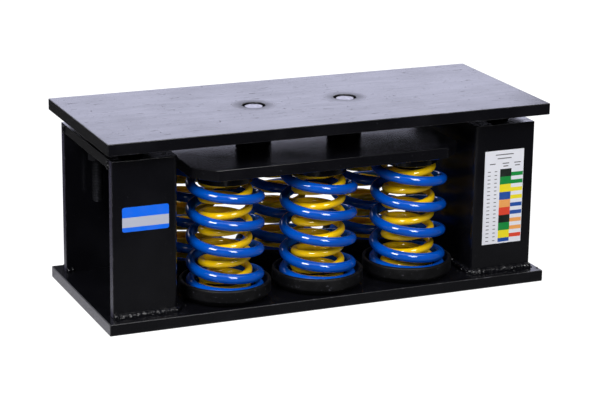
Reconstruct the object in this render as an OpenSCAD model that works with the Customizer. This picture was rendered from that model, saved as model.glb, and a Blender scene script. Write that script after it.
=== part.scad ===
// Restrained spring vibration isolator: six spring nests between two end channels.
// Millimetres. Origin at the bottom centre of the base plate, +X along the length, front at -Y, +Z up.

/* [Plates] */
// Thickness of the base plate
base_t = 12.5; // [8:0.5:20]
// Thickness of the top plate
top_t = 12.5; // [8:0.5:20]
// Thickness of the pressure plate on the springs
press_t = 12; // [8:0.5:20]
// Pressure plate beyond the outer springs at each end
press_edge_x = 4.25; // [2:0.25:12]
// Pressure plate beyond the outer springs at front and back
press_edge_y = 1.25; // [1:0.25:5]
// Corner cut of the pressure plate
press_chamfer = 21.5; // [10:0.5:30]
// Room between the pressure plate and an end channel
press_clear = 17.5; // [10:0.5:30]

/* [End channels] */
// Width of an end channel over its flanges
channel_w = 173; // [150:1:190]
// Reach of a flange, web included
channel_d = 71; // [60:1:90]
// Wall of web and flanges
channel_wall = 10; // [6:0.5:12]
// Outer radius between web and flange
channel_r = 6; // [3:0.5:10]
// Base plate beyond the flange toes
channel_setback = 9; // [5:0.5:20]
// Thickness of the cap plate between the flanges
cap_t = 10; // [6:0.5:16]
// Leg of the fillet weld round a channel's foot
weld_leg = 6; // [3:0.5:8]

/* [Spring nests] */
// Distance between nests along the length
nest_pitch_x = 106.5; // [104:0.5:130]
// Distance between the two rows
nest_pitch_y = 108; // [104:0.5:120]
// Outside diameter of the outer spring
outer_od = 83.5; // [78:0.5:86]
// Wire of the outer spring
outer_wire = 10.5; // [9:0.25:11]
// Length of the outer spring as built in
outer_len = 128.5; // [115:0.5:150]
// Turns of the outer spring, closed foot included
outer_turns = 5.55; // [5:0.05:6]
// Room between the outer and the inner spring
spring_gap = 2.25; // [2:0.25:4]
// Wire of the inner spring
inner_wire = 8; // [6:0.25:8.5]
// Turns of the inner spring, closed foot included
inner_turns = 7.75; // [7:0.05:9]

/* [Spring seats] */
// Floor of the rubber cup under the springs
cup_floor_t = 9; // [5:0.5:12]
// Height of the cup's rim above its floor
cup_rim_h = 8.5; // [5:0.5:14]
// Wall of the cup at floor level
cup_wall = 5.5; // [4:0.5:7]
// Room between the outer spring and the cup's wall
cup_clear = 1.75; // [1:0.25:3]
// How far the cup's foot draws in
cup_draw = 7; // [3:0.5:9]
// Height of the boss inside the inner spring
boss_h = 6; // [3:0.5:10]
// Room between the boss and the inner spring
boss_clear = 2; // [1.75:0.25:3]
// Thickness of the seat disc over the inner spring
seat_t = 11; // [8:0.5:16]
// Room between the seat disc and the outer spring
seat_clear = 1.75; // [1.5:0.25:3]

/* [Levelling bolts] */
// Thread diameter of a levelling bolt
bolt_d = 24; // [20:1:27]
// Hexagon of bolt head and lock nut, across flats
bolt_af = 36; // [34:1:41]
// Height of the bolt head
bolt_head_h = 15; // [12:0.5:18]
// Height of the lock nut
lock_nut_h = 12; // [10:0.5:16]
// Gap between bolt head and lock nut
lock_nut_gap = 0.5; // [0.4:0.1:3]
// Bolt end below the top plate's upper face
bolt_recess = 3; // [1:0.5:6]
// Thread play of a levelling bolt, all round
bolt_clear = 0.4; // [0.3:0.05:0.6]

/* [Restraint] */
// Free gap between the end channels and the top plate
stop_gap = 10.5; // [8:0.5:20]
// Thread diameter of a restraint stud
stud_d = 12; // [10:1:14]
// Distance of a stud from the flange beside it
stud_edge = 19.5; // [19:0.5:36]
// Depth of the stud's seat in the top plate
stud_seat = 7; // [4:0.5:7.5]
// Thread left below the nut
stud_tail = 46; // [10:1:60]
// Room round a stud in its rubber bush
stud_clear = 0.5; // [0.4:0.1:1]
// Play of nuts, washers and pads on a stud
thread_play = 0.1; // [0.05:0.05:0.3]
// Wall of the rubber bush
bush_wall = 3.5; // [2.5:0.5:5]
// Thickness of the bush's collar on the cap plate
bush_collar_t = 5; // [3:0.5:5]
// Reach of the collar beyond the bush
bush_collar_w = 2; // [1.5:0.5:4]
// Room between bush and cap plate
bush_clear = 0.1; // [0.05:0.05:0.3]
// Free lift before the rebound pad meets the cap plate
rebound_gap = 9.5; // [9.5:0.5:16]
// Diameter of the rebound pad
pad_d = 30; // [24:1:34]
// Thickness of the rebound pad
pad_t = 4; // [3:0.5:8]
// Diameter of the plain washer
washer_d = 24; // [20:1:30]
// Thickness of the plain washer
washer_t = 2.5; // [2:0.5:4]
// Hexagon of the stud nut, across flats
stud_nut_af = 18; // [18:1:22]
// Height of the stud nut
stud_nut_h = 10.8; // [8:0.1:14]

/* [Labels] */
// Thickness of a label
label_t = 0.4; // [0.2:0.1:0.6]
// Width of the tag on the left channel
tag_w = 50; // [30:1:56]
// Height of the tag
tag_h = 26; // [15:1:40]
// Height of the tag's middle above the base plate
tag_z = 104.5; // [60:0.5:120]
// Width of the chart on the right channel
chart_w = 47.5; // [30:0.5:56]
// Height of the chart
chart_h = 105.5; // [60:0.5:120]
// Height of the chart's middle above the base plate
chart_z = 84.5; // [70:0.5:100]

/* [Hidden] */
$fn = 48;
overcut = 1;

// Rows and columns of the nests, seen from the front
nest_names = ["front_left", "front_middle", "front_right", "rear_left", "rear_middle", "rear_right"];
nest_columns = [-1, 0, 1, -1, 0, 1];
nest_rows = [-1, -1, -1, 1, 1, 1];
nests = [0:5];

// Where each wire starts at the bottom, in degrees round its nest
outer_start = [140, 140, 121, 140, 140, 121];
inner_start = [338, 358, 204, 120, 200, 260];

// Springs: one closed turn at the foot, eased into the open pitch over part of a turn; both ends are ground flat
foot_turns = 1;
ease_turns = 0.8;
coil_sides = 6;
coil_steps = 80;
foot_ground = 0.25;
head_ground = 0.3;

// Cups and seat discs, sized from the springs
outer_id = outer_od - 2 * outer_wire;
inner_od = outer_id - 2 * spring_gap;
inner_id = inner_od - 2 * inner_wire;
cup_in_r = outer_od / 2 + cup_clear;
cup_r = cup_in_r + cup_wall;
cup_h = cup_floor_t + cup_rim_h;
cup_skirt_h = 0.8 * cup_floor_t;
cup_flare = 1.5;
rim_r = 1.5;
boss_d = inner_id - 2 * boss_clear;
boss_draw = 1.5;
seat_d = outer_id - 2 * seat_clear;
inner_len = outer_len - seat_t;

// Heights, from the base plate upwards
cup_floor_z = base_t + cup_floor_t;
press_z = cup_floor_z + outer_len;
press_top_z = press_z + press_t;
lock_nut_z = press_top_z + bolt_head_h + lock_nut_gap;
top_z = lock_nut_z + lock_nut_h;
total_h = top_z + top_t;
channel_top_z = top_z - stop_gap;
channel_h = channel_top_z - base_t;
cap_z = channel_top_z - cap_t;
pad_z = cap_z - rebound_gap - pad_t;
washer_z = pad_z - washer_t;
stud_nut_z = washer_z - stud_nut_h;
stud_z = stud_nut_z - stud_tail;

// Plan sizes, from the nests outwards
press_l = 2 * nest_pitch_x + outer_od + 2 * press_edge_x;
press_w = nest_pitch_y + outer_od + 2 * press_edge_y;
web_x = press_l / 2 + press_clear;
cap_x = web_x + channel_wall;
toe_x = web_x + channel_d;
plate_l = 2 * (toe_x + channel_setback);
plate_w = nest_pitch_y + 2 * cup_r;
cap_w = channel_w - 2 * channel_wall;
bolt_x = nest_pitch_x / 2;
stud_x = (cap_x + toe_x) / 2;
stud_y = cap_w / 2 - stud_edge;
label_x = (web_x + toe_x) / 2;

// Bushes and bores
bush_bore = stud_d + 2 * stud_clear;
bush_d = bush_bore + 2 * bush_wall;
bolt_bore = bolt_d + 2 * bolt_clear;
stud_bore = stud_d + 2 * thread_play;
bolt_chamfer = 1.5;

enamel = "#17171a";
rubber = "#232325";
zinc = "#b9bcc0";
spring_blue = "#0f63c4";
spring_yellow = "#f2c414";

// Puts what is modelled at the right end (side = 1) at the left end (side = -1)
module at_end(side) {
    if (side < 0) mirror([1, 0, 0]) children();
    else children();
}

module at_nest(i) {
    translate([nest_columns[i] * nest_pitch_x, nest_rows[i] * nest_pitch_y / 2, 0]) children();
}

module at_studs() {
    for (side = [-1, 1])
        for (row = [-1, 1])
            translate([side * stud_x, row * stud_y, 0]) children();
}

// Hexagon with the corners of both ends turned off at 30 degrees
module hexagon(across_flats, height) {
    flat_r = across_flats / 2;
    corner_r = flat_r / cos(30) + overcut;
    chamfer_h = (corner_r - flat_r) * tan(30);
    intersection() {
        linear_extrude(height) circle(r = flat_r / cos(30), $fn = 6);
        rotate_extrude()
            polygon([
                [0, 0], [flat_r, 0], [corner_r, chamfer_h],
                [corner_r, height - chamfer_h], [flat_r, height], [0, height]
            ]);
    }
}

module ring(outer_d, bore_d, height) {
    linear_extrude(height)
        difference() {
            circle(d = outer_d);
            circle(d = bore_d);
        }
}

// Share of the open pitch reached after u turns of easing
function eased(u) = u <= 0 ? 0 : u < ease_turns ? u * u / (2 * ease_turns) : u - ease_turns / 2;

// Height of the wire's centre after t turns, with a closed foot and an open head
function wire_z(t, wire, len, turns) =
    let (rise_turns = turns - foot_turns - ease_turns / 2)
    let (rise = (len + (foot_ground + head_ground) * wire - wire * turns) / rise_turns)
    wire * (t - foot_ground) + rise * eased(t - foot_turns);

// Compression spring with ground ends; hand is 1 for right-hand, -1 for left-hand
module coil_spring(od, wire, len, turns, hand, start) {
    // The section polygon has the area of the round wire
    section_r = wire / 2 * sqrt(2 * PI / (coil_sides * sin(360 / coil_sides)));
    mean_r = (od - wire) / 2;
    points = [
        for (i = [0:coil_steps])
            let (t = turns * i / coil_steps)
            let (a = start + hand * 360 * t)
            for (k = [0:coil_sides - 1])
                let (b = 360 * k / coil_sides)
                let (r = mean_r + section_r * cos(b))
                let (z = wire_z(t, wire, len, turns) + section_r * sin(b))
                [r * cos(a), r * sin(a), min(max(z, 0), len)]
    ];
    corner = function (i, k) i * coil_sides + k % coil_sides;
    walls = [
        for (i = [0:coil_steps - 1])
            for (k = [0:coil_sides - 1])
                for (half = [0, 1])
                    half == 0
                        ? [corner(i, k), corner(i, k + 1), corner(i + 1, k + 1)]
                        : [corner(i, k), corner(i + 1, k + 1), corner(i + 1, k)]
    ];
    upper = 1;
    lower = upper + coil_sides / 2;
    ends = [
        for (k = [1:coil_sides - 2])
            for (end = [0, 1])
                end == 0
                    ? [corner(0, upper), corner(0, upper + k + 1), corner(0, upper + k)]
                    : [corner(coil_steps, lower), corner(coil_steps, lower + k), corner(coil_steps, lower + k + 1)]
    ];
    faces = concat(walls, ends);
    outward = hand > 0 ? faces : [for (f = faces) [f[0], f[2], f[1]]];
    polyhedron(points, outward);
}

module base_plate() {
    color(enamel)
        translate([-plate_l / 2, -plate_w / 2, 0])
            cube([plate_l, plate_w, base_t]);
}

module channel_outline() {
    translate([web_x + channel_r, -channel_w / 2])
        square([channel_d - channel_r, channel_w]);
    translate([web_x, channel_r - channel_w / 2])
        square([channel_r + overcut, channel_w - 2 * channel_r]);
    for (row = [-1, 1])
        translate([web_x + channel_r, row * (channel_w / 2 - channel_r)])
            circle(r = channel_r);
}

module end_channel() {
    color(enamel)
        translate([0, 0, base_t])
            linear_extrude(channel_h)
                difference() {
                    channel_outline();
                    translate([cap_x, -cap_w / 2])
                        square([channel_d, cap_w]);
                }
}

module cap_plate() {
    color(enamel)
        translate([0, 0, cap_z])
            linear_extrude(cap_t)
                difference() {
                    translate([cap_x, -cap_w / 2])
                        square([toe_x - cap_x, cap_w]);
                    for (row = [-1, 1])
                        translate([stud_x, row * stud_y])
                            circle(d = bush_d + 2 * bush_clear);
                }
}

module weld_profile() {
    polygon([[0, 0], [weld_leg, 0], [0, weld_leg]]);
}

// Fillet weld along the outside of both flanges and the web
module base_weld() {
    flange_run = channel_d - channel_r;
    web_run = channel_w - 2 * channel_r;
    color(enamel)
        translate([0, 0, base_t]) {
            translate([web_x, web_run / 2, 0])
                rotate([90, 0, 0])
                    linear_extrude(web_run)
                        mirror([1, 0]) weld_profile();
            for (row = [-1, 1])
                mirror([0, (1 - row) / 2, 0]) {
                    translate([web_x + channel_r, channel_w / 2, 0])
                        rotate([90, 0, 90])
                            linear_extrude(flange_run) weld_profile();
                    translate([web_x + channel_r, channel_w / 2 - channel_r, 0])
                        rotate([0, 0, 90])
                            rotate_extrude(angle = 90)
                                translate([channel_r, 0]) weld_profile();
                }
        }
}

module base_cup() {
    foot_r = cup_r - cup_draw;
    color(rubber)
        translate([0, 0, base_t])
            rotate_extrude()
                polygon([
                    [0, 0], [foot_r, 0], [cup_r, cup_skirt_h], [cup_r, cup_h - rim_r],
                    [cup_r - rim_r, cup_h], [cup_in_r + cup_flare, cup_h], [cup_in_r, cup_floor_t],
                    [boss_d / 2, cup_floor_t], [boss_d / 2 - boss_draw, cup_floor_t + boss_h],
                    [0, cup_floor_t + boss_h]
                ]);
}

module outer_spring(i) {
    color(spring_blue)
        translate([0, 0, cup_floor_z])
            coil_spring(outer_od, outer_wire, outer_len, outer_turns, -1, outer_start[i]);
}

module inner_spring(i) {
    color(spring_yellow)
        translate([0, 0, cup_floor_z])
            coil_spring(inner_od, inner_wire, inner_len, inner_turns, 1, inner_start[i]);
}

// Seat disc under the pressure plate, with a boss that centres the inner spring
module top_seat() {
    color(enamel)
        translate([0, 0, press_z - seat_t])
            rotate_extrude()
                polygon([
                    [0, -boss_h], [boss_d / 2 - boss_draw, -boss_h], [boss_d / 2, 0],
                    [seat_d / 2, 0], [seat_d / 2, seat_t], [0, seat_t]
                ]);
}

module pressure_plate() {
    x = press_l / 2;
    y = press_w / 2;
    c = press_chamfer;
    color(enamel)
        translate([0, 0, press_z])
            linear_extrude(press_t)
                polygon([
                    [c - x, -y], [x - c, -y], [x, c - y], [x, y - c],
                    [x - c, y], [c - x, y], [-x, y - c], [-x, c - y]
                ]);
}

module levelling_bolt() {
    shank_h = total_h - bolt_recess - press_top_z;
    color(zinc)
        translate([0, 0, press_top_z]) {
            hexagon(bolt_af, bolt_head_h);
            cylinder(d = bolt_d, h = shank_h - bolt_chamfer);
            translate([0, 0, shank_h - bolt_chamfer])
                cylinder(d1 = bolt_d, d2 = bolt_d - 2 * bolt_chamfer, h = bolt_chamfer);
        }
}

module lock_nut() {
    color(zinc)
        translate([0, 0, lock_nut_z])
            difference() {
                hexagon(bolt_af, lock_nut_h);
                translate([0, 0, -overcut])
                    cylinder(d = bolt_bore, h = lock_nut_h + 2 * overcut);
            }
}

module top_plate() {
    color(enamel)
        difference() {
            translate([-plate_l / 2, -plate_w / 2, top_z])
                cube([plate_l, plate_w, top_t]);
            for (side = [-1, 1])
                translate([side * bolt_x, 0, top_z - overcut])
                    cylinder(d = bolt_bore, h = top_t + 2 * overcut);
            at_studs()
                translate([0, 0, top_z - overcut])
                    cylinder(d = stud_bore, h = stud_seat + overcut);
        }
}

module restraint_studs() {
    color(zinc)
        at_studs()
            translate([0, 0, stud_z])
                cylinder(d = stud_d, h = top_z + stud_seat - stud_z);
}

module snubber_bushes() {
    color(rubber)
        at_studs() {
            translate([0, 0, cap_z])
                ring(bush_d, bush_bore, cap_t);
            translate([0, 0, channel_top_z])
                ring(bush_d + 2 * bush_collar_w, bush_bore, bush_collar_t);
        }
}

module rebound_pads() {
    color(rubber)
        at_studs()
            translate([0, 0, pad_z])
                ring(pad_d, stud_bore, pad_t);
}

module rebound_washers() {
    color(zinc)
        at_studs()
            translate([0, 0, washer_z])
                ring(washer_d, stud_bore, washer_t);
}

module rebound_nuts() {
    color(zinc)
        at_studs()
            translate([0, 0, stud_nut_z])
                difference() {
                    hexagon(stud_nut_af, stud_nut_h);
                    translate([0, 0, -overcut])
                        cylinder(d = stud_bore, h = stud_nut_h + 2 * overcut);
                }
}

// Thin label on the front flange of a channel
module label(x, z, width, height) {
    translate([x - width / 2, -channel_w / 2 - label_t, base_t + z - height / 2])
        cube([width, label_t, height]);
}

module left_tag() {
    color("#2d6fc9") label(-label_x, tag_z, tag_w, tag_h);
}

module right_chart() {
    color("#f1f1ee") label(label_x, chart_z, chart_w, chart_h);
}

base_plate();
at_end(-1) end_channel();  // left_channel
at_end(1) end_channel();  // right_channel
at_end(-1) cap_plate();  // left_cap_plate
at_end(1) cap_plate();  // right_cap_plate
at_end(-1) base_weld();  // left_base_weld
at_end(1) base_weld();  // right_base_weld
pressure_plate();
top_plate();
translate([-bolt_x, 0, 0]) levelling_bolt();  // left_levelling_bolt
translate([bolt_x, 0, 0]) levelling_bolt();  // right_levelling_bolt
translate([-bolt_x, 0, 0]) lock_nut();  // left_lock_nut
translate([bolt_x, 0, 0]) lock_nut();  // right_lock_nut
restraint_studs();
snubber_bushes();
rebound_pads();
rebound_washers();
rebound_nuts();
left_tag();
right_chart();
for (i = nests) {
    at_nest(i) base_cup();
    at_nest(i) outer_spring(i);
    at_nest(i) inner_spring(i);
    at_nest(i) top_seat();
}
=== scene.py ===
"""Restrained spring vibration isolator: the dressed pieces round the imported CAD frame, and a plain studio."""

import math
import random
from contextlib import contextmanager
from functools import partial

import bmesh
import bpy
from bpy.props import FloatProperty, FloatVectorProperty, IntProperty, PointerProperty
from mathutils import Matrix, Vector, noise


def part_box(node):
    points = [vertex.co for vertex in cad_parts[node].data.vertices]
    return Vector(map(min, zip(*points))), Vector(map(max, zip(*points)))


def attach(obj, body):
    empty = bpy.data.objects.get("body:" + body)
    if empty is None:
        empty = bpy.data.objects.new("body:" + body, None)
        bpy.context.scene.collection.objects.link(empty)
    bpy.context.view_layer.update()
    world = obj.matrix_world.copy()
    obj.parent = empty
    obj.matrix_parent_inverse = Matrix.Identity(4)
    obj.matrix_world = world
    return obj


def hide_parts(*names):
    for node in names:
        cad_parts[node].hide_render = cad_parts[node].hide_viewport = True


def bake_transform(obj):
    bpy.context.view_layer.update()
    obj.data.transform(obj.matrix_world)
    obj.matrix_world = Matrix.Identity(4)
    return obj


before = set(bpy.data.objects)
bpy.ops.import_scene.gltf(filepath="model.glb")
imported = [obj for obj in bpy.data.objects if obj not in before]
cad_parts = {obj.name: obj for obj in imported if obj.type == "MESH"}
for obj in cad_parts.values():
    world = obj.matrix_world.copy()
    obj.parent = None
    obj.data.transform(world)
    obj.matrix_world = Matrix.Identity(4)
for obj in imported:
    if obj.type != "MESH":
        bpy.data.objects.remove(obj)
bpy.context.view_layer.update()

bl_info = {
    "name": "Spring Vibration Isolator",
    "version": (1, 0, 0),
    "blender": (4, 5, 0),
    "location": "View3D > Sidebar > Isolator",
    "description": "Builds a restrained spring isolator piece by piece round its CAD frame",
    "category": "Add Mesh",
}

MM = 0.001
NESTS = ("front_left", "front_middle", "front_right", "rear_left", "rear_middle", "rear_right")
ENDS = (("left", -1), ("right", 1))
# Where each spring's wire starts, in degrees, in the order of the nests
OUTER_STARTS = (140, 140, 121, 140, 140, 121)
INNER_STARTS = (338, 358, 204, 120, 200, 260)
# A face or an edge lies along an axis when this share of its direction does, and at a place when it is this near
FACING = 0.99
ALONG = 0.9
NEAR = 0.1 * MM
# Places in a piece's list of materials: a plate's edges, a plate's ends or top, and a bolt's cut end
EDGE_PAINT, FACE_PAINT, CUT_END = 1, 2, 1

WHITE = (1, 1, 1, 1)
# Own glow and grey of the floor, and the little light that the white background gives
FLOOR_GLOW, FLOOR_GREY, WORLD_LIGHT = 0.91, 0.28, 0.05
FLOOR_SIZE, WALL_RADIUS, WALL_HEIGHT = 7, 3.2, 4
# Each lamp's azimuth from the front, elevation and distance, width, height, radiance and colour
LAMP_TARGET = (0, 0, 0.1)
LAMPS = (
    ("softbox_left", -55, 38, 1.6, 0.5, 0.72, 16.5, (1, 1, 1)),
    ("softbox_right", 9, 38, 1.6, 0.5, 0.72, 14.0, (1, 1, 1)),
    ("softbox_rear_right", 125, 38, 1.6, 0.5, 0.72, 4.5, (1, 1, 1)),
    ("softbox_rear_left", 215, 38, 1.6, 0.5, 0.72, 4.5, (1, 1, 1)),
    ("backlight", 170.5, 21, 2.6, 2.42, 1.2, 2.32, (0.77, 0.78, 1.0)),
)
CAMERA_PLACE = (-0.8754, -2.0478, 0.7491)
CAMERA_AZIMUTH, CAMERA_ELEVATION, CAMERA_ROLL = -23.19, 16.47, 0.748
CAMERA_LENS, CAMERA_SENSOR = 127.7, 36


def linear(code):
    """An sRGB hex colour as linear red, green and blue with full alpha."""
    values = [int(code[i:i + 2], 16) / 255 for i in (1, 3, 5)]
    return tuple(v / 12.92 if v <= 0.04045 else ((v + 0.055) / 1.055) ** 2.4 for v in values) + (1.0,)


def length(name, description, millimetres):
    return FloatProperty(name=name, description=description, default=millimetres * MM, min=0.0, unit="LENGTH",
                         precision=5)


def colour(name, description, code):
    return FloatVectorProperty(name=name, description=description, default=linear(code), subtype="COLOR", size=4,
                               min=0.0, max=1.0)


class IsolatorSizes(bpy.types.PropertyGroup):
    """Sizes that the CAD boxes don't give."""
    plate_edge: length("Plate edge", "Rounding of the plates' edges under the paint", 0.9)
    press_cut: length("Corner cut", "Cut of the pressure plate's corners, along each side", 21.5)
    channel_round: length("Channel corner", "Outer radius between a channel's web and its flanges", 6)
    channel_root: length("Channel root", "Inner radius between a channel's web and its flanges", 4)
    bead_radius: length("Weld bead", "Radius of a weld bead", 4.2)
    outer_od: length("Outer spring", "Outside diameter of an outer spring", 83.5)
    outer_wire: length("Outer wire", "Wire of an outer spring", 10.5)
    outer_turns: FloatProperty(name="Outer turns", description="Turns of an outer spring", default=5.55, min=4)
    inner_od: length("Inner spring", "Outside diameter of an inner spring", 58)
    inner_wire: length("Inner wire", "Wire of an inner spring", 8)
    inner_turns: FloatProperty(name="Inner turns", description="Turns of an inner spring", default=7.75, min=4)
    ease_turns: FloatProperty(name="Easing", description="Turns over which the pitch opens after the closed foot",
                              default=0.8, min=0.1)
    bolt_d: length("Bolt", "Thread diameter of a levelling bolt", 24)
    bolt_pitch: length("Bolt pitch", "Thread pitch of a levelling bolt", 3)
    bolt_af: length("Bolt hexagon", "Bolt head and lock nut across flats", 36)
    bolt_head: length("Bolt head", "Height of a levelling bolt's head", 15)
    bolt_rise: length("Bolt end", "Height of a bolt's cut end above its CAD solid", 1.8)
    bolt_bore: length("Bolt bore", "Bore for a levelling bolt in the top plate", 24.8)
    stud_d: length("Stud", "Thread diameter of a restraint stud", 12)
    stud_pitch: length("Stud pitch", "Thread pitch of a restraint stud", 1.75)
    stud_af: length("Stud hexagon", "Stud nut across flats", 18)
    bush_bore: length("Bush bore", "Bore of a snubber bush", 13)
    bush_d: length("Bush", "Diameter of a snubber bush in its cap plate", 20)
    tag_round: length("Tag corner", "Corner radius of the tag", 2.2)
    chart_rows: IntProperty(name="Chart rows", description="Rows of cells on the chart", default=19, min=6)


class IsolatorColours(bpy.types.PropertyGroup):
    """Colours of the finishes."""
    enamel: colour("Enamel", "Black enamel on the steel plates and channels", "#0B0B0F")
    haze: colour("Haze", "Thin and dusty places in the enamel", "#3B3B42")
    bare: colour("Bare edge", "Steel showing where the enamel is rubbed off an edge", "#54535A")
    # The colour of a cut plate end: thin enamel and torn grain, tinted with a painted lavender reflection of the side
    # light
    sheared_grain_and_sheen: colour("Sheared end", "Thin enamel on the torn grain of a sheared end", "#5A5670")
    blue: colour("Blue coating", "Powder coating of the outer springs", "#0052BE")
    blue_mark: colour("Blue mark", "Rubbed marks in the blue coating", "#03265A")
    yellow: colour("Yellow coating", "Powder coating of the inner springs", "#FACC0A")
    yellow_mark: colour("Yellow mark", "Rubbed marks in the yellow coating", "#A8760C")
    rubber: colour("Rubber", "Moulded black rubber", "#08080A")
    zinc: colour("Zinc", "Dull zinc plating", "#63646A")
    cut_pale: colour("Cut steel", "Bright steel of a bolt's cut end", "#B0AFB3")
    cut_dark: colour("Cut steel, dark", "Duller patches of a bolt's cut end", "#6C6B6F")
    film: colour("Film", "White vinyl film of the labels", "#E7E8F0")
    scuff: colour("Scuff", "Grey scuffs on the labels", "#8C8C90")
    strip: colour("Strip", "Writing strip of the tag, greyed by handling", "#B4B8C8")
    tag: colour("Tag", "Blue print of the tag", "#0468EC")
    dash: colour("Dash", "Grey dashes of the chart", "#5F6062")


def deselect():
    if bpy.context.object and bpy.context.object.mode != "OBJECT":
        bpy.ops.object.mode_set(mode="OBJECT")
    bpy.ops.object.select_all(action="DESELECT")


def activate(*pieces):
    """Selects only these pieces, with the first one active."""
    deselect()
    for piece in pieces:
        piece.select_set(True)
    bpy.context.view_layer.objects.active = pieces[0]


@contextmanager
def editing(piece, action="SELECT"):
    """Edit mode by edges on one piece, with all or nothing selected, and object mode again afterwards."""
    activate(piece)
    bpy.ops.object.mode_set(mode="EDIT")
    bpy.ops.mesh.select_mode(type="EDGE")
    bpy.ops.mesh.select_all(action=action)
    yield
    bpy.ops.object.mode_set(mode="OBJECT")


def settle(name):
    """Puts the active object's place, turn and scale into its mesh, and names it."""
    piece = bpy.context.object
    bpy.ops.object.transform_apply(location=True, rotation=True, scale=True)
    piece.name = piece.data.name = name
    return piece


def place_data(name, data):
    """An object for new data, in the scene."""
    holder = bpy.data.objects.new(name, data)
    bpy.context.scene.collection.objects.link(holder)
    return holder


def add_block(name, low, high):
    """A box between two corners."""
    deselect()
    low, high = Vector(low), Vector(high)
    bpy.ops.mesh.primitive_cube_add(size=1, location=(low + high) / 2, scale=high - low)
    return settle(name)


def bevel_edges(piece, width, segments, test):
    """Bevels the edges whose middle and direction pass a test."""
    with editing(piece, "DESELECT"):
        for edge in bmesh.from_edit_mesh(piece.data).edges:
            a, b = (v.co for v in edge.verts)
            edge.select_set(test((a + b) / 2, (b - a).normalized()))
        bmesh.update_edit_mesh(piece.data)
        bpy.ops.mesh.bevel(offset=width, segments=segments, affect="EDGES")


def modify(piece, kind, **settings):
    """Adds one modifier to a piece and applies it."""
    activate(piece)
    bpy.ops.object.modifier_add(type=kind)
    modifier = piece.modifiers[-1]
    for key, value in settings.items():
        setattr(modifier, key, value)
    bpy.ops.object.modifier_apply(modifier=modifier.name)


def carve(piece, tool, operation="DIFFERENCE"):
    """Cuts a piece with a tool, or keeps what both share, and throws the tool away."""
    modify(piece, "BOOLEAN", object=tool, operation=operation, solver="EXACT")
    bpy.data.objects.remove(tool)


def round_edges(piece, width, segments=3, edge_material=-1):
    """Rounds all sharp edges, with flat faces left flat to the light."""
    activate(piece)
    bpy.ops.object.shade_smooth()
    modify(piece, "BEVEL", width=width, segments=segments, limit_method="ANGLE", angle_limit=math.radians(32),
           harden_normals=True, material=edge_material)


def paint_faces(piece, index, test):
    """Gives one of a piece's materials to the faces whose middle and direction pass a test."""
    for face in piece.data.polygons:
        if test(face.center, face.normal):
            face.material_index = index


def turn(name, rings, centre=(0, 0), steps=64, closed=False):
    """A turned shape: a circle extruded from ring to ring (radius, height), its ends filled or joined to each other."""
    deselect()
    x, y = centre
    radius, height = rings[0]
    bpy.ops.mesh.primitive_circle_add(vertices=steps, radius=radius, location=(x, y, height))
    piece = settle(name)
    with editing(piece):
        if not closed:
            bpy.ops.mesh.edge_face_add()
            bpy.ops.mesh.select_mode(type="EDGE")
        mesh = bmesh.from_edit_mesh(piece.data)
        for face in mesh.faces:
            face.select_set(False)
        for edge in mesh.edges:
            edge.select_set(True)
        bmesh.update_edit_mesh(piece.data)
        for next_radius, next_height in rings[1:]:
            bpy.ops.mesh.extrude_edges_move(TRANSFORM_OT_translate={"value": (0, 0, next_height - height)})
            scale = next_radius / radius
            bpy.ops.transform.resize(value=(scale, scale, 1), center_override=(x, y, next_height))
            radius, height = next_radius, next_height
        if not closed:
            bpy.ops.mesh.edge_face_add()
        bpy.ops.mesh.select_all(action="SELECT")
        bpy.ops.mesh.remove_doubles(threshold=0.002 * MM)
        bpy.ops.mesh.normals_make_consistent(inside=False)
    bpy.ops.object.shade_smooth_by_angle(angle=math.radians(38))
    return piece


def drill(piece, radius, low, high, centre=(0, 0), steps=64):
    """Bores a round hole up through a piece that lies between two heights."""
    carve(piece, turn("drill", [(radius, low - MM), (radius, high + MM)], centre, steps))


def copy_to(piece, name, offset, turned=0.0):
    """A copy of a piece with its own mesh, turned about the vertical and moved."""
    activate(piece)
    bpy.ops.object.duplicate()
    made = bpy.context.object
    made.rotation_euler = (0, 0, turned)
    made.location = offset
    return settle(name)


def join(name, *pieces):
    activate(*pieces)
    bpy.ops.object.join()
    return settle(name)


def hexagon(name, across_flats, low, high):
    """A hexagon on the origin's axis, with the corners of both ends turned off at 30 degrees."""
    flat = across_flats / 2
    slope = math.radians(30)
    corner = flat / math.cos(slope)
    chamfer = (corner + MM - flat) * math.tan(slope)
    rings = [(flat, low), (corner + MM, low + chamfer), (corner + MM, high - chamfer), (flat, high)]
    tool = turn("hexagon_tool", rings, steps=96)
    deselect()
    bpy.ops.mesh.primitive_cylinder_add(vertices=6, radius=corner, depth=high - low, location=(0, 0, (low + high) / 2),
                                        rotation=(0, 0, slope))
    piece = settle(name)
    carve(piece, tool, "INTERSECT")
    round_edges(piece, 0.35 * MM, 2)
    return piece


def threaded_rod(name, diameter, pitch, low, high):
    """A rod on the origin's axis: a core with chamfered ends and one helical ridge."""
    radius = diameter / 2
    depth = 0.61 * pitch
    core = radius - depth
    tip, chamfer = core - 0.4 * depth, 0.6 * depth
    rod = turn(name, [(tip, low), (core, low + chamfer), (core, high - chamfer), (tip, high)], steps=32)
    tooth = 1.05 * depth / 1.5
    deselect()
    bpy.ops.mesh.primitive_circle_add(vertices=3, radius=tooth, location=(radius - tooth, 0, low + pitch / 2),
                                      rotation=(math.pi / 2, math.pi / 2, 0))
    ridge = settle(name + "_ridge")
    modify(ridge, "SCREW", screw_offset=pitch, iterations=int((high - low) / pitch) - 1, steps=20, render_steps=20,
           use_smooth_shade=False)
    with editing(ridge, "DESELECT"):
        bpy.ops.mesh.select_non_manifold()
        bpy.ops.mesh.fill_holes(sides=4)
        bpy.ops.mesh.select_all(action="SELECT")
        bpy.ops.mesh.normals_make_consistent(inside=False)
    return join(name, rod, ridge)


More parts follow.
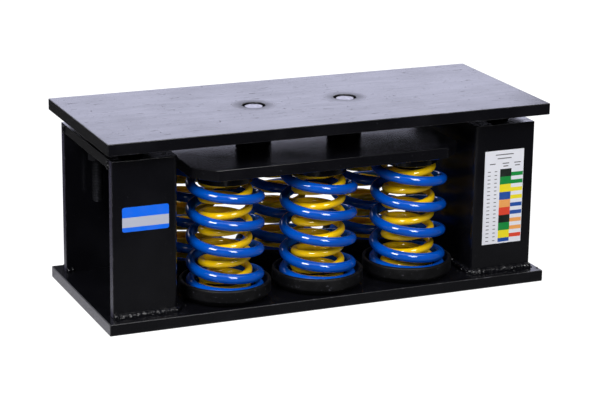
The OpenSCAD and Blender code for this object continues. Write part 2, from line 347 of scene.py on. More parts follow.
def sweep(name, points, radius, sides, factors=None):
    """A round bar along a row of points, closed at both ends."""
    curve = bpy.data.curves.new(name, "CURVE")
    curve.dimensions = "3D"
    curve.bevel_depth = radius
    curve.bevel_resolution = (sides - 4) // 2
    curve.use_fill_caps = True
    curve.twist_mode = "Z_UP"
    spline = curve.splines.new("POLY")
    spline.points.add(len(points) - 1)
    for i, point in enumerate(points):
        spline.points[i].co = (*point, 1)
        spline.points[i].radius = factors[i] if factors else 1
    bar = place_data(name, curve)
    activate(bar)
    bpy.ops.object.convert(target="MESH")
    with editing(bar):
        bpy.ops.mesh.remove_doubles(threshold=0.001 * MM)
        bpy.ops.mesh.normals_make_consistent(inside=False)
    return settle(name)


def coil(name, outside, wire, height, turns, ease, hand, low):
    """A compression spring on the origin's axis: a closed foot and an open head, both ground flat."""
    foot, head = 0.25, 0.3  # shares of the wire that are ground off
    rise = (height + (foot + head) * wire - wire * turns) / (turns - 1 - ease / 2)
    mean = (outside - wire) / 2
    steps = int(turns * 54)
    points = []
    for i in range(steps + 1):
        t = turns * i / steps
        a = hand * 2 * math.pi * t
        u = max(0.0, t - 1)
        eased = u * u / (2 * ease) if u < ease else u - ease / 2
        points.append((mean * math.cos(a), mean * math.sin(a), low + wire * (t - foot) + rise * eased))
    spring = sweep(name, points, wire / 2, 20)
    for z, up in ((low, 1), (low + height, -1)):
        with editing(spring):
            bpy.ops.mesh.bisect(plane_co=(0, 0, z), plane_no=(0, 0, up), use_fill=True, clear_inner=True)
    bpy.ops.object.shade_smooth_by_angle(angle=math.radians(40))
    return spring


def bead(name, corners, radius, seed, spatter=0):
    """A hand-laid weld bead along a path: overlapping lumps of uneven size, with spatter beside it."""
    chance = random.Random(seed)
    plate_low, plate_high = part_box("base_plate")
    edge = 2 * MM
    points, factors = [], []
    travelled = 0.0

    def uneven(s, spacing, layer):
        return noise.noise(Vector((s / (spacing * MM), seed, layer)))

    for a, b in zip(corners, corners[1:]):
        a, b = Vector(a), Vector(b)
        count = max(2, round((b - a).length / (1.1 * MM)))
        for i in range(count):
            s = travelled + (b - a).length * i / count
            lump = uneven(s, 5, 0) * 0.34 + uneven(s, 2.2, 9) * 0.22
            ripple = 0.07 * math.sin(2 * math.pi * s / (3.1 * MM))
            sway = 0.7 * MM * uneven(s, 9, 4)
            points.append(a.lerp(b, i / count) + Vector((sway, -sway, 0.4 * sway)))
            factors.append(1 + lump + ripple)
        travelled += (b - a).length
    piece = sweep(name, points, radius, 12, factors)
    with editing(piece):
        for _ in range(spatter):
            p = chance.choice(points)
            reach = chance.choice((-1, 1)) * chance.uniform(4, 13) * MM
            size = chance.uniform(0.5, 1.3) * MM
            x = min(max(p.x + reach, plate_low.x + edge), plate_high.x - edge)
            y = min(max(p.y + chance.uniform(-9, 9) * MM, plate_low.y + edge), plate_high.y - edge)
            bpy.ops.mesh.primitive_ico_sphere_add(subdivisions=2, radius=size, scale=(1, 1, 0.7),
                                                  location=(x, y, plate_high.z + 0.3 * size))
    bpy.ops.object.shade_smooth()
    return piece


def middle(node):
    low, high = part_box(node)
    return (low + high) / 2


def nest_centre(nest):
    centre = middle("base_cup_" + nest)
    return (centre.x, centre.y, 0)


def stud_centres():
    low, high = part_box("restraint_studs")
    half = bpy.context.scene.isolator_sizes.stud_d / 2
    return [(x, y, 0) for x in (low.x + half, high.x - half) for y in (low.y + half, high.y - half)]


def fit(piece, body, slot, *nodes):
    """Rides a finished piece on its body, in the place of the CAD nodes that it stands for."""
    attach(piece, body)
    if nodes:
        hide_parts(*nodes)


def in_nests(model, name, body, slot, node):
    """Rides a copy of a model in each nest, in the place of that nest's CAD node, and throws the model away."""
    for nest in NESTS:
        fit(copy_to(model, name + nest, nest_centre(nest)), body, slot, node + nest)
    bpy.data.objects.remove(model)


def on_studs(name, model):
    """Four copies of a model on the studs' axes, as one piece."""
    copies = [copy_to(model, f"{name}_{i}", centre) for i, centre in enumerate(stud_centres())]
    bpy.data.objects.remove(model)
    return join(name, *copies)


def wind_springs(kind, hand, starts, finish):
    """Winds one kind of spring, and puts a copy of it in each nest in the place of that nest's CAD spring."""
    sizes = bpy.context.scene.isolator_sizes
    low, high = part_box(kind + "_spring_front_middle")
    outside, wire, turns = (getattr(sizes, f"{kind}_{key}") for key in ("od", "wire", "turns"))
    model = coil(kind + "_model", outside, wire, high.z - low.z, turns, sizes.ease_turns, hand, low.z)
    coat(model, finish)
    for nest, start in zip(NESTS, starts):
        spring = copy_to(model, f"coil_{kind}_{nest}", nest_centre(nest), math.radians(start))
        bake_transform(spring)
        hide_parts(f"{kind}_spring_{nest}")
    bpy.data.objects.remove(model)


def plug(node, inputs):
    """Sets a node's inputs, given by name or number or as a row from the first, or links them to other nodes.

    A node stands for its first output. A colour Mix has its factor and colours at 0, 6 and 7 and its result at 2.
    """
    for key, value in inputs.items() if isinstance(inputs, dict) else enumerate(inputs):
        if isinstance(value, bpy.types.Node):
            value = value.outputs[0]
        if isinstance(value, bpy.types.NodeSocket):
            node.id_data.links.new(value, node.inputs[key])
        else:
            node.inputs[key].default_value = value


def add_node(tree, kind, inputs=(), **settings):
    """Adds one shader node with its settings and inputs."""
    made = tree.nodes.new("ShaderNode" + kind)
    for key, value in settings.items():
        setattr(made, key, value)
    plug(made, inputs)
    return made


def empty_tree(owner):
    """Clears the nodes of a material or a world, and gives what adds new ones there."""
    owner.use_nodes = True
    owner.node_tree.nodes.clear()
    return partial(add_node, owner.node_tree)


def coat(piece, *finishes):
    """Gives a piece its materials, each made at its first use from what its finish plugs into the shader."""
    piece.data.materials.clear()
    for finish in finishes:
        material = bpy.data.materials.get(finish.__name__)
        if not material:
            material = bpy.data.materials.new(finish.__name__)
            material.use_nodes = True
            add = partial(add_node, material.node_tree)
            place = add("TexCoord").outputs["Object"]
            inputs = finish(add, place, bpy.context.scene.isolator_colours)
            plug(material.node_tree.nodes["Principled BSDF"], inputs)
        piece.data.materials.append(material)
    return piece


def per(millimetres):
    """The scale of a pattern whose features are so many millimetres apart."""
    return 1 / (millimetres * MM)


def brushed_enamel(add, place, colours):
    """Brushed alkyd enamel on hot-rolled plate: near black, half gloss, with brush waves, pits and caught dust."""
    cloud = add("TexNoise", {"Vector": place, "Scale": per(45), "Detail": 3.0})
    # Caught dust is too fine to show, so its specks are drawn coarser
    dust = add("TexNoise", {"Vector": place, "Scale": per(2.4), "Detail": 2.0})
    thin = add("MapRange", (cloud, 0.48, 0.75, 0.0, 0.05))
    speck = add("MapRange", (dust, 0.70, 0.78, 0.0, 0.55))
    both = add("Math", (thin, speck), operation="MAXIMUM")
    tone = add("Mix", {0: both, 6: colours.enamel, 7: colours.haze}, data_type="RGBA")
    gloss = add("MapRange", (cloud, 0.3, 0.7, 0.14, 0.24))
    waves = add("TexNoise", {"Vector": place, "Scale": per(3.5), "Detail": 3.0})
    bump = add("Bump", {"Height": waves, "Strength": 0.06, "Distance": 0.3 * MM})
    return {"Base Color": tone.outputs[2], "Roughness": gloss, "Normal": bump, "IOR": 1.47}


def rubbed_enamel(add, place, colours):
    """The same enamel on a rounded edge, rubbed thin so that grey steel shows in broken flecks."""
    fleck = add("TexNoise", {"Vector": place, "Scale": per(5), "Detail": 5.0, "Roughness": 0.65})
    worn = add("MapRange", (fleck, 0.54, 0.68, 0.02, 0.5))
    tone = add("Mix", {0: worn, 6: colours.enamel, 7: colours.bare}, data_type="RGBA")
    gloss = add("MapRange", (fleck, 0.4, 0.7, 0.30, 0.55))
    bump = add("Bump", {"Height": fleck, "Strength": 0.3, "Distance": 0.3 * MM})
    return {"Base Color": tone.outputs[2], "Roughness": gloss, "Normal": bump, "IOR": 1.45}


def rolled_top_enamel(add, place, colours):
    """Enamel on the flat top face: an even sheen with short scratches, grit and dull rings round the two bores."""
    bolt_x = middle("left_levelling_bolt").x
    along = add("Mapping", {"Vector": place, "Scale": (0.12, 1, 1), "Rotation": (0, 0, math.radians(-4))})
    # Scratches and grit are too fine to show, so both are drawn a few millimetres wide
    scratch = add("TexNoise", {"Vector": along, "Scale": per(2.2), "Detail": 2.0})
    grit = add("TexNoise", {"Vector": place, "Scale": per(3.0), "Detail": 1.0})
    wipe = add("TexNoise", {"Vector": along, "Scale": per(11), "Detail": 3.0, "Distortion": 0.8})
    cloud = add("TexNoise", {"Vector": place, "Scale": per(48), "Detail": 4.0})
    # Distance from the nearer bore, with the right half mirrored onto the left one
    split = add("SeparateXYZ", (place,))
    mirrored = add("Math", (split,), operation="ABSOLUTE")
    beside = add("Math", (mirrored, bolt_x), operation="ADD")
    flat = add("CombineXYZ", (beside, split.outputs[1]))
    away = add("VectorMath", (flat,), operation="LENGTH")
    ring = add("MapRange", (away.outputs["Value"], 12 * MM, 26 * MM, 0.34, 0.0))
    smudge = add("Math", (ring, wipe), operation="MULTIPLY")
    scored = add("MapRange", (scratch, 0.67, 0.75, 0.0, 0.35))
    pitted = add("MapRange", (grit, 0.74, 0.79, 0.0, 0.5))
    marks = add("Math", (scored, pitted), operation="ADD")
    dull = add("Math", (marks, smudge), operation="ADD")
    gloss = add("MapRange", (cloud, 0.3, 0.7, 0.21, 0.26))
    matt = add("Math", (gloss, dull), operation="ADD")
    sheen = add("MapRange", (wipe, 0.32, 0.68, 0.38, 0.58))
    kept = add("MapRange", (dull, 0.0, 0.6, 1.0, 0.2))
    level = add("Math", (sheen, kept), operation="MULTIPLY")
    tone = add("Mix", {0: marks, 6: colours.enamel, 7: colours.haze}, data_type="RGBA")
    bump = add("Bump", {"Height": scratch, "Strength": 0.02, "Distance": 0.3 * MM})
    return {"Base Color": tone.outputs[2], "Roughness": matt, "Specular IOR Level": level, "Normal": bump, "IOR": 1.5}


def sheared_enamel_with_sheen(add, place, colours):
    """Thin enamel over the torn grain of a plate end, with a lavender grey painted in that stands for the reflected
    side light.
    """
    # Torn grain is finer than this, and drawn coarser to show
    grain = add("TexNoise", {"Vector": place, "Scale": per(1.7), "Detail": 4.0, "Roughness": 0.7})
    # Where the grain shows, the painted lavender reflection of the side light shows too
    bare = add("MapRange", (grain, 0.38, 0.66, 0.0, 0.8))
    tone = add("Mix", {0: bare, 6: colours.enamel, 7: colours.sheared_grain_and_sheen}, data_type="RGBA")
    gloss = add("MapRange", (grain, 0.3, 0.7, 0.22, 0.48))
    bump = add("Bump", {"Height": grain, "Strength": 0.5, "Distance": 0.5 * MM})
    return {"Base Color": tone.outputs[2], "Roughness": gloss, "Normal": bump, "IOR": 1.5, "Specular IOR Level": 0.25}


def weld_enamel(add, place, colours):
    """Enamel that ran over a weld bead: black and glossy, breaking the light into small sparks on the lumps."""
    lump = add("TexNoise", {"Vector": place, "Scale": per(4.0), "Detail": 1.0})
    thin = add("MapRange", (lump, 0.56, 0.74, 0.0, 0.15))
    tone = add("Mix", {0: thin, 6: colours.enamel, 7: colours.haze}, data_type="RGBA")
    gloss = add("MapRange", (lump, 0.3, 0.7, 0.05, 0.14))
    bump = add("Bump", {"Height": lump, "Strength": 1.0, "Distance": 2.5 * MM})
    return {"Base Color": tone.outputs[2], "Roughness": gloss, "Normal": bump, "IOR": 1.5, "Specular IOR Level": 0.3}


def powder_coat(add, place, even, rubbed):
    """A baked powder coating on wire: even colour with a clear skin, slight orange peel and a few rubbed dark marks."""
    cloud = add("TexNoise", {"Vector": place, "Scale": per(18), "Detail": 3.0})
    mark = add("TexNoise", {"Vector": place, "Scale": per(4), "Detail": 4.0, "Roughness": 0.6})
    shade = add("MapRange", (cloud, 0.35, 0.7, 0.0, 0.22))
    rub = add("MapRange", (mark, 0.69, 0.76, 0.0, 0.8))
    both = add("Math", (shade, rub), operation="MAXIMUM")
    tone = add("Mix", {0: both, 6: even, 7: rubbed}, data_type="RGBA")
    gloss = add("MapRange", (cloud, 0.3, 0.7, 0.40, 0.55))
    peel = add("TexNoise", {"Vector": place, "Scale": per(1.8), "Detail": 2.0})
    bump = add("Bump", {"Height": peel, "Strength": 0.02, "Distance": 0.2 * MM})
    return {"Base Color": tone.outputs[2], "Roughness": gloss, "Normal": bump, "IOR": 1.45, "Specular IOR Level": 0.0,
            "Coat Weight": 1.0, "Coat IOR": 1.7, "Coat Roughness": 0.02}


def blue_powder_coat(add, place, colours):
    """Powder coating of the outer springs: strong blue under small sharp lights."""
    return powder_coat(add, place, colours.blue, colours.blue_mark)


def yellow_powder_coat(add, place, colours):
    """Powder coating of the inner springs: warm yellow that deepens to ochre where it is rubbed."""
    return powder_coat(add, place, colours.yellow, colours.yellow_mark)


def moulded_rubber(add, place, colours):
    """Moulded black rubber: matt and soft to the light, with fine grain and grey dust on it."""
    dust = add("TexNoise", {"Vector": place, "Scale": per(16), "Detail": 5.0})
    pale = add("MapRange", (dust, 0.52, 0.78, 0.0, 0.12))
    # Single specks and the mould's grain are too fine to show, so both are drawn coarser
    spot = add("TexNoise", {"Vector": place, "Scale": per(2.6), "Detail": 1.0})
    grain = add("TexNoise", {"Vector": place, "Scale": per(0.9), "Detail": 2.0})
    fleck = add("MapRange", (spot, 0.68, 0.74, 0.0, 0.9))
    dusty = add("Math", (pale, fleck), operation="MAXIMUM")
    tone = add("Mix", {0: dusty, 6: colours.rubber, 7: colours.haze}, data_type="RGBA")
    gloss = add("MapRange", (dust, 0.3, 0.7, 0.42, 0.62))
    bump = add("Bump", {"Height": grain, "Strength": 0.2, "Distance": 0.2 * MM})
    return {"Base Color": tone.outputs[2], "Roughness": gloss, "Normal": bump, "IOR": 1.5, "Specular IOR Level": 0.22}


def dull_zinc(add, place, colours):
    """Zinc-plated steel gone dull: grey metal with darker oily clouds and a soft broken shine."""
    cloud = add("TexNoise", {"Vector": place, "Scale": per(7), "Detail": 4.0})
    oil = add("MapRange", (cloud, 0.35, 0.7, 0.1, 0.85))
    tone = add("Mix", {0: oil, 6: colours.zinc, 7: colours.haze}, data_type="RGBA")
    gloss = add("MapRange", (cloud, 0.3, 0.7, 0.32, 0.55))
    return {"Base Color": tone.outputs[2], "Roughness": gloss, "Metallic": 1.0}


def cut_steel(add, place, colours):
    """The bare cut end of a bolt: bright steel with duller patches from handling."""
    patch = add("TexNoise", {"Vector": place, "Scale": per(3.0), "Detail": 3.0})
    tone = add("Mix", {0: patch, 6: colours.cut_pale, 7: colours.cut_dark}, data_type="RGBA")
    gloss = add("MapRange", (patch, 0.3, 0.7, 0.28, 0.45))
    return {"Base Color": tone.outputs[2], "Roughness": gloss, "Metallic": 1.0}


def printed_film(add, place, colours):
    """Printed vinyl film: flat clean inks under a satin skin, with a faint ripple from the paint below."""
    ink = add("Attribute", attribute_name="ink")
    scuff = add("TexNoise", {"Vector": place, "Scale": per(9), "Detail": 4.0})
    grey = add("MapRange", (scuff, 0.45, 0.8, 0.0, 0.06))
    tone = add("Mix", {0: grey, 6: ink, 7: colours.scuff}, data_type="RGBA")
    gloss = add("MapRange", (scuff, 0.3, 0.7, 0.30, 0.46))
    bump = add("Bump", {"Height": scuff, "Strength": 0.06, "Distance": 0.3 * MM})
    return {"Base Color": tone.outputs[2], "Roughness": gloss, "Normal": bump, "IOR": 1.46}


def ink_faces(piece, choose):
    """Prints each face of a label with the colour chosen from its middle and its direction."""
    ink = piece.data.color_attributes.new("ink", "FLOAT_COLOR", "CORNER")
    for face in piece.data.polygons:
        for corner in face.loop_indices:
            ink.data[corner].color = choose(face.center, face.normal)


def slice_label(piece, axis, places):
    """Cuts a label along one axis at each place, so that its print can change there."""
    for place in places:
        co, no = [0, 0, 0], [0, 0, 0]
        co[axis], no[axis] = place, 1
        with editing(piece):
            bpy.ops.mesh.bisect(plane_co=co, plane_no=no)


def add_dash(name, place, width, height):
    """A small upright strip of print that faces the front."""
    deselect()
    bpy.ops.mesh.primitive_plane_add(size=1, location=place, rotation=(math.pi / 2, 0, 0))
    bpy.context.object.scale = (width, height, 1)
    return settle(name)


class ISOLATOR_OT_base_plate(bpy.types.Operator):
    """Flat plate with rubbed edges that the channels are welded to"""
    bl_idname = "isolator.base_plate"
    bl_label = "Base plate"

    def execute(self, context):
        plate = add_block("plate_base", *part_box("base_plate"))
        coat(plate, brushed_enamel, rubbed_enamel, sheared_enamel_with_sheen)
        round_edges(plate, context.scene.isolator_sizes.plate_edge, 3, EDGE_PAINT)
        # The plate's ends take the enamel with the painted reflection of the side light
        paint_faces(plate, FACE_PAINT, lambda p, n: abs(n.x) > FACING)
        fit(plate, "base", "black_enamel", "base_plate")
        return {"FINISHED"}


class ISOLATOR_OT_end_channels(bpy.types.Operator):
    """Channel posts at both ends, web towards the springs, with rolled corners"""
    bl_idname = "isolator.end_channels"
    bl_label = "End channels"

    def execute(self, context):
        sizes = context.scene.isolator_sizes
        for end, side in ENDS:
            low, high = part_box(end + "_channel")
            cap_low, cap_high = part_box(end + "_cap_plate")
            web, root, toe = (low.x, cap_low.x, high.x) if side > 0 else (high.x, cap_high.x, low.x)
            channel = add_block("channel_" + end, low, high)
            tool_low = Vector((cap_low.x - (MM if side < 0 else 0), cap_low.y, low.z - MM))
            tool_high = Vector((cap_high.x + (MM if side > 0 else 0), cap_high.y, high.z + MM))
            carve(channel, add_block("channel_tool", tool_low, tool_high))
            bevel_edges(channel, sizes.channel_round, 8, lambda p, d: abs(d.z) > ALONG and abs(p.x - web) < NEAR)
            bevel_edges(channel, sizes.channel_root, 5, lambda p, d: abs(d.z) > ALONG and abs(p.x - root) < NEAR
                        and abs(abs(p.y) - cap_high.y) < NEAR)
            coat(channel, brushed_enamel, rubbed_enamel, sheared_enamel_with_sheen)
            round_edges(channel, 0.8 * sizes.plate_edge, 3, EDGE_PAINT)
            # The toe end takes the enamel with the painted reflection of the side light
            paint_faces(channel, FACE_PAINT, lambda p, n: n.x * side > FACING and abs(p.x - toe) < NEAR)
            fit(channel, "base", "black_enamel", end + "_channel")
        return {"FINISHED"}


class ISOLATOR_OT_cap_plates(bpy.types.Operator):
    """Plates let in between the flanges at the top of each channel, bored for the bushes"""
    bl_idname = "isolator.cap_plates"
    bl_label = "Cap plates"

    def execute(self, context):
        sizes = context.scene.isolator_sizes
        for end, side in ENDS:
            low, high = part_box(end + "_cap_plate")
            plate = add_block("cap_" + end, low, high)
            for x, y, _ in stud_centres():
                if x * side > 0:
                    drill(plate, sizes.bush_d / 2 + 0.1 * MM, low.z, high.z, (x, y), 48)
            coat(plate, brushed_enamel, rubbed_enamel)
            round_edges(plate, 0.6 * sizes.plate_edge, 2, EDGE_PAINT)
            fit(plate, "base", "black_enamel", end + "_cap_plate")
        return {"FINISHED"}


class ISOLATOR_OT_welds(bpy.types.Operator):
    """Uneven weld beads round the channels' feet and at the corners of the cap plates"""
    bl_idname = "isolator.welds"
    bl_label = "Welds"

    def execute(self, context):
        radius = context.scene.isolator_sizes.bead_radius
        off, corner = 0.28 * radius, 5 * MM
        for end, side in ENDS:
            low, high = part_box(end + "_channel")
            cap_low, cap_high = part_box(end + "_cap_plate")
            web, root, toe = (low.x, cap_low.x, high.x) if side > 0 else (high.x, cap_high.x, low.x)
            z = low.z + off
            front, back, inner, outer = low.y - off, high.y + off, web - side * off, web + side * corner
            foot = bead("weld_foot_" + end, [
                (toe, front, z), (outer, front, z), (inner, low.y + corner, z),
                (inner, high.y - corner, z), (outer, back, z), (toe, back, z),
            ], radius, 11 + side, 46)
            fit(coat(foot, weld_enamel), "base", "weld_bead", end + "_base_weld")
            x, out = root + side * off, toe - side * 1.2 * MM
            seams = [bead("weld_root_" + end, [(x, cap_low.y + 3 * MM, z), (x, cap_high.y - 3 * MM, z)],
                          0.8 * radius, 21 + side, 14)]
            for i, y in enumerate((cap_low.y, cap_high.y)):
                seams.append(bead(f"weld_cap_{end}_{i}", [(out, y, cap_low.z + MM), (out, y, cap_high.z - 0.5 * MM)],
                                  0.75 * radius, 31 + 3 * side + i))
                seams.append(bead(f"weld_toe_{end}_{i}", [(out - side * 7 * MM, y, z), (out + side * 2 * MM, y, z)],
                                  0.8 * radius, 41 + 3 * side + i))
            for seam in seams:
                fit(coat(seam, weld_enamel), "base", "weld_bead")
        return {"FINISHED"}


class ISOLATOR_OT_base_cups(bpy.types.Operator):
    """Rubber cups under the springs, with a drawn-in foot, a rounded rim and a centring boss"""
    bl_idname = "isolator.base_cups"
    bl_label = "Base cups"

    def execute(self, context):
        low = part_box("base_cup_front_middle")[0]
        # Radius and height of each ring in millimetres: foot, wall, rim, floor and boss
        profile = (
            (41.6, 0), (42.1, 0.25), (45.4, 3.4), (48.0, 6.1), (48.6, 6.8), (48.9, 7.6), (49.0, 8.6), (49.0, 17.3),
            (48.8, 18.3), (48.3, 19.0), (47.5, 19.4), (46.6, 19.5), (45.7, 19.45), (45.2, 19.1), (44.9, 18.4),
            (43.7, 9.9), (43.3, 9.2), (42.5, 9.0), (19.8, 9.0), (19.2, 9.2), (18.9, 9.8), (17.8, 14.3), (17.4, 14.8),
            (16.7, 15.0),
        )
        model = turn("cup_model", [(r * MM, low.z + h * MM) for r, h in profile], steps=96)
        in_nests(coat(model, moulded_rubber), "cup_", "base", "black_rubber", "base_cup_")
        return {"FINISHED"}


class ISOLATOR_OT_outer_springs(bpy.types.Operator):
    """Left-hand outer springs with a closed foot and an open head"""
    bl_idname = "isolator.outer_springs"
    bl_label = "Outer springs"

    def execute(self, context):
        wind_springs("outer", -1, OUTER_STARTS, blue_powder_coat)
        return {"FINISHED"}


class ISOLATOR_OT_inner_springs(bpy.types.Operator):
    """Right-hand inner springs, each started at its own angle"""
    bl_idname = "isolator.inner_springs"
    bl_label = "Inner springs"

    def execute(self, context):
        wind_springs("inner", 1, INNER_STARTS, yellow_powder_coat)
        return {"FINISHED"}


class ISOLATOR_OT_top_seats(bpy.types.Operator):
    """Seat discs under the pressure plate, with bosses inside the inner springs"""
    bl_idname = "isolator.top_seats"
    bl_label = "Top seats"

    def execute(self, context):
        low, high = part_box("top_seat_front_middle")
        disc, edge = (high.x - low.x) / 2, 0.8 * MM
        step = high.z - 11 * MM
        rings = [(16.8 * MM, low.z), (17.5 * MM, low.z + 0.5 * MM), (19 * MM, step - 0.1 * MM), (19.2 * MM, step),
                 (disc - edge, step), (disc, step + edge), (disc, high.z)]
        model = turn("seat_model", rings, steps=72)
        in_nests(coat(model, brushed_enamel), "seat_", "pressure_plate", "seat_enamel", "top_seat_")
        return {"FINISHED"}


class ISOLATOR_OT_pressure_plate(bpy.types.Operator):
    """Plate with cut corners that rests on the springs"""
    bl_idname = "isolator.pressure_plate"
    bl_label = "Pressure plate"

    def execute(self, context):
        sizes = context.scene.isolator_sizes
        plate = add_block("plate_pressure", *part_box("pressure_plate"))
        bevel_edges(plate, sizes.press_cut, 1, lambda p, d: abs(d.z) > ALONG)
        coat(plate, brushed_enamel)
        round_edges(plate, sizes.plate_edge)
        fit(plate, "pressure_plate", "black_enamel", "pressure_plate")
        return {"FINISHED"}


class ISOLATOR_OT_levelling_bolts(bpy.types.Operator):
    """Hexagon bolts, head down on the pressure plate, with cut ends in the top plate's bores"""
    bl_idname = "isolator.levelling_bolts"
    bl_label = "Levelling bolts"

    def execute(self, context):
        sizes = context.scene.isolator_sizes
        low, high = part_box("left_levelling_bolt")
        neck = low.z + sizes.bolt_head
        shank = threaded_rod("bolt_shank", sizes.bolt_d, sizes.bolt_pitch, neck - MM, high.z + sizes.bolt_rise)
        coat(shank, dull_zinc, cut_steel)
        paint_faces(shank, CUT_END, lambda p, n: n.z > 0.5 and p.z > high.z - MM)
        head = hexagon("bolt_head", sizes.bolt_af, low.z, neck)
        model = join("bolt_model", coat(head, brushed_enamel), shank)
        for end, _ in ENDS:
            node = end + "_levelling_bolt"
            fit(copy_to(model, "bolt_" + end, (middle(node).x, 0, 0)), end + "_bolt", "zinc_steel", node)
        bpy.data.objects.remove(model)
        return {"FINISHED"}


class ISOLATOR_OT_lock_nuts(bpy.types.Operator):
    """Nuts under the top plate on the levelling bolts"""
    bl_idname = "isolator.lock_nuts"
    bl_label = "Lock nuts"

    def execute(self, context):
        sizes = context.scene.isolator_sizes
        low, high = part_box("left_lock_nut")
        model = hexagon("lock_nut_model", sizes.bolt_af, low.z, high.z)
        drill(model, sizes.bolt_bore / 2, low.z, high.z)
        coat(model, brushed_enamel)
        for end, _ in ENDS:
            node = end + "_lock_nut"
            fit(copy_to(model, "nut_lock_" + end, (middle(node).x, 0, 0)), "top_plate", "zinc_steel", node)
        bpy.data.objects.remove(model)
        return {"FINISHED"}


class ISOLATOR_OT_top_plate(bpy.types.Operator):
    """Plate that carries the machine, bored for the levelling bolts"""
    bl_idname = "isolator.top_plate"
    bl_label = "Top plate"

    def execute(self, context):
        sizes = context.scene.isolator_sizes
        low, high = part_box("top_plate")
        plate = add_block("plate_top", low, high)
        for end, _ in ENDS:
            drill(plate, sizes.bolt_bore / 2, low.z, high.z, (middle(end + "_levelling_bolt").x, 0))
        coat(plate, brushed_enamel, rubbed_enamel, rolled_top_enamel)
        round_edges(plate, sizes.plate_edge, 3, EDGE_PAINT)
        paint_faces(plate, FACE_PAINT, lambda p, n: n.z > FACING and p.z > high.z - NEAR)
        fit(plate, "top_plate", "black_enamel", "top_plate")
        return {"FINISHED"}


class ISOLATOR_OT_restraint_studs(bpy.types.Operator):
    """Threaded rods from the top plate down through the cap plates"""
    bl_idname = "isolator.restraint_studs"
    bl_label = "Restraint studs"

    def execute(self, context):
        sizes = context.scene.isolator_sizes
        low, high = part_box("restraint_studs")
        model = threaded_rod("stud_model", sizes.stud_d, sizes.stud_pitch, low.z, high.z)
        fit(on_studs("studs", coat(model, dull_zinc)), "top_plate", "zinc_steel", "restraint_studs")
        return {"FINISHED"}


class ISOLATOR_OT_snubber_bushes(bpy.types.Operator):
    """Collared rubber bushes in the cap plates"""
    bl_idname = "isolator.snubber_bushes"
    bl_label = "Snubber bushes"

    def execute(self, context):
        sizes = context.scene.isolator_sizes
        low, high = (corner.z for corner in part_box("snubber_bushes"))
        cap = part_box("left_cap_plate")[1].z
        bore, body = sizes.bush_bore / 2, sizes.bush_d / 2
        collar = body + 2 * MM
        rings = [(bore, low), (body - 0.5 * MM, low), (body, low + 0.5 * MM), (body, cap), (collar - 0.3 * MM, cap),
                 (collar, cap + 0.3 * MM), (collar, high - 1.2 * MM), (collar - 0.4 * MM, high - 0.4 * MM),
                 (collar - 1.2 * MM, high), (bore + 0.6 * MM, high), (bore, high - 0.6 * MM), (bore, low)]
        model = turn("bush_model", rings, steps=48, closed=True)
        fit(on_studs("bushes", coat(model, moulded_rubber)), "base", "black_rubber", "snubber_bushes")
        return {"FINISHED"}


class ISOLATOR_OT_rebound_stops(bpy.types.Operator):
    """Rubber pads, washers and nuts on the studs below the cap plates"""
    bl_idname = "isolator.rebound_stops"
    bl_label = "Rebound stops"

    def execute(self, context):
        sizes = context.scene.isolator_sizes
        bore = sizes.stud_d / 2 + 0.1 * MM
        for name, node, radius, edge, finish, slot in (
                ("pads", "rebound_pads", 15 * MM, 1.0 * MM, moulded_rubber, "black_rubber"),
                ("washers", "rebound_washers", 12 * MM, 0.4 * MM, dull_zinc, "zinc_steel")):
            low, high = (corner.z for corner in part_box(node))
            turned = 0.3 * edge
            rings = [(bore, low), (radius - edge, low), (radius - turned, low + turned), (radius, low + edge),
                     (radius, high - edge), (radius - turned, high - turned), (radius - edge, high), (bore, high),
                     (bore, low)]
            model = coat(turn(name + "_model", rings, steps=48, closed=True), finish)
            fit(on_studs(name, model), "top_plate", slot, node)
        low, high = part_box("rebound_nuts")
        model = hexagon("stud_nut_model", sizes.stud_af, low.z, high.z)
        drill(model, bore, low.z, high.z, steps=32)
        fit(on_studs("stud_nuts", coat(model, dull_zinc)), "top_plate", "zinc_steel", "rebound_nuts")
        return {"FINISHED"}


class ISOLATOR_OT_left_tag(bpy.types.Operator):
    """Blue film tag with a pale strip left bare for writing"""
    bl_idname = "isolator.left_tag"
    bl_label = "Tag"

    def execute(self, context):
        colours = context.scene.isolator_colours
        low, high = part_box("left_tag")
        tag = add_block("film_tag", low, high)
        bevel_edges(tag, context.scene.isolator_sizes.tag_round, 5, lambda p, d: abs(d.y) > ALONG)
        strip_low, strip_high = (low.z + share * (high.z - low.z) for share in (0.183, 0.583))
        slice_label(tag, 2, (strip_low, strip_high))
        ink_faces(tag, lambda p, n: colours.strip if strip_low < p.z < strip_high else colours.tag)
        fit(coat(tag, printed_film), "base", "blue_label", "left_tag")
        return {"FINISHED"}


